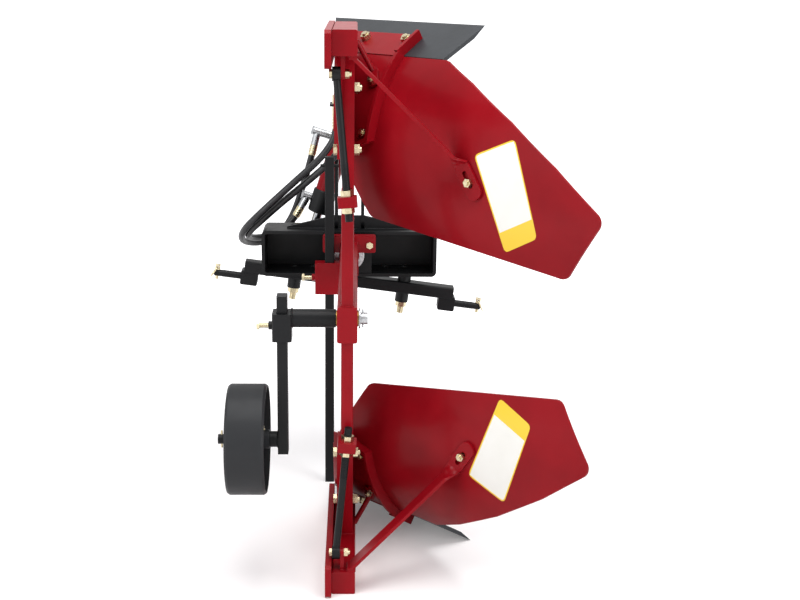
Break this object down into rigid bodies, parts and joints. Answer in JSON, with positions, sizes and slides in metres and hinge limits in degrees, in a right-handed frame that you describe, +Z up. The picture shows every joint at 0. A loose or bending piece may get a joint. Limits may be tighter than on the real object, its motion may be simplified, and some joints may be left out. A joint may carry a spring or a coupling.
{
  "type": "reversible plough",
  "caption": "Tractor-mounted reversible plough: mirror-image bodies on a frame that a cylinder turns over, with depth wheel and parking stand.",
  "frame": {"origin": "On the ground under the rear post, on the bottom face of the lower sole beam, in the vertical plane of the turnover axis", "axes": "+X right, +Y forward in the direction of travel, +Z up"},
  "size_m": [1.0079, 1.3152, 1.408],
  "materials": {
    "red_paint": "glossy red paint",
    "black_paint": "satin black paint",
    "share_steel": "dark satin wear steel",
    "zinc": "yellow-passivated zinc",
    "bright_steel": "bright steel",
    "rod_chrome": "hard chrome",
    "bronze": "bearing bronze",
    "wheel_grey": "satin grey paint",
    "hose_rubber": "matt black hose"
  },
  "bodies": {
    "headstock": {"headstock_beam": "black_paint", "bearing_tube": "black_paint", "shaft_bushes": "bronze", "thrust_washer": "bright_steel", "mast": "black_paint", "cylinder_pivot_pin": "bright_steel", "hitch_bar": "black_paint", "lower_hitch_pins": "black_paint", "hitch_bolts": "zinc", "hitch_spacers": "black_paint", "hose_couplers": "zinc", "hose_a": "hose_rubber", "hose_b": "hose_rubber"},
    "turnover_frame": {"main_shaft": "red_paint", "crank": "red_paint", "frame_plate": "red_paint", "frame_plate_bolts": "zinc", "main_beam": "red_paint", "pivot_bush": "bronze", "rod_jam_nuts": "zinc", "rod_eye_bolts": "zinc", "leg_bolts": "zinc", "share_bolts": "zinc", "mouldboard_bolts": "zinc", "landside_bolts": "zinc", "stand_socket": "red_paint", "socket_screw": "zinc", "upper_share": "share_steel", "upper_mouldboard": "red_paint", "upper_frog": "red_paint", "upper_leg": "red_paint", "upper_sole_beam": "red_paint", "upper_landside": "red_paint", "upper_rear_post": "red_paint", "upper_adjusting_rod": "black_paint", "upper_tail_brace": "red_paint", "lower_share": "share_steel", "lower_mouldboard": "red_paint", "lower_frog": "red_paint", "lower_leg": "red_paint", "lower_sole_beam": "red_paint", "lower_landside": "red_paint", "lower_rear_post": "red_paint", "lower_adjusting_rod": "black_paint", "lower_tail_brace": "red_paint"},
    "cylinder": {"cylinder_cap": "black_paint", "cylinder_barrel": "red_paint", "cylinder_gland": "black_paint", "hose_unions": "bright_steel"},
    "cylinder_rod": {"cylinder_rod": "rod_chrome", "rod_end_pin": "bright_steel"},
    "wheel_carrier": {"wheel_carrier": "black_paint", "wheel_pivot_pin": "bright_steel", "carrier_screw": "zinc"},
    "wheel_arm": {"wheel_arm": "black_paint", "wheel_keeper": "zinc"},
    "wheel": {"wheel": "wheel_grey"},
    "stand": {"stand_bar": "black_paint"},
    "left_linch_pin": {"left_linch_pin": "zinc"},
    "right_linch_pin": {"right_linch_pin": "zinc"}
  },
  "joints": [
    {"name": "turnover", "type": "hinge", "parent": "headstock", "child": "turnover_frame", "pos_m": [0, 0.88, 0.704], "axis": [0, -1, 0], "range_deg": [0, 180]},
    {"name": "cylinder_swing", "type": "hinge", "parent": "headstock", "child": "cylinder", "pos_m": [0, 1.036, 1.104], "axis": [0, -1, 0], "range_deg": [0, 34.72], "deforming": ["hose_a", "hose_b"]},
    {"name": "rod_slide", "type": "slide", "parent": "cylinder", "child": "cylinder_rod", "axis": [-0.2983, 0, -0.9545], "range_m": [0, 0.1059]},
    {"name": "wheel_swing", "type": "hinge", "parent": "turnover_frame", "child": "wheel_carrier", "pos_m": [0, 0.045, 0.704], "axis": [-1, 0, 0], "range_deg": [0, 180]},
    {"name": "wheel_height", "type": "slide", "parent": "wheel_carrier", "child": "wheel_arm", "axis": [0, 0, 1], "range_m": [-0.03, 0.12]},
    {"name": "wheel_spin", "type": "hinge", "parent": "wheel_arm", "child": "wheel", "pos_m": [-0.25, 0.045, 0.387], "axis": [1, 0, 0], "continuous": true},
    {"name": "stand_slide", "type": "slide", "parent": "turnover_frame", "child": "stand", "axis": [0, 0, 1], "range_m": [0, 0.45]},
    {"name": "left_linch", "type": "slide", "parent": "headstock", "child": "left_linch_pin", "axis": [0.1271, 0, 0.9919], "range_m": [0, 0.045]},
    {"name": "right_linch", "type": "slide", "parent": "headstock", "child": "right_linch_pin", "axis": [0.1271, 0, 0.9919], "range_m": [0, 0.045]}
  ],
  "couplings": [
    {"joint": "cylinder_swing", "follows": "turnover", "ratio": 0.19282}
  ]
}
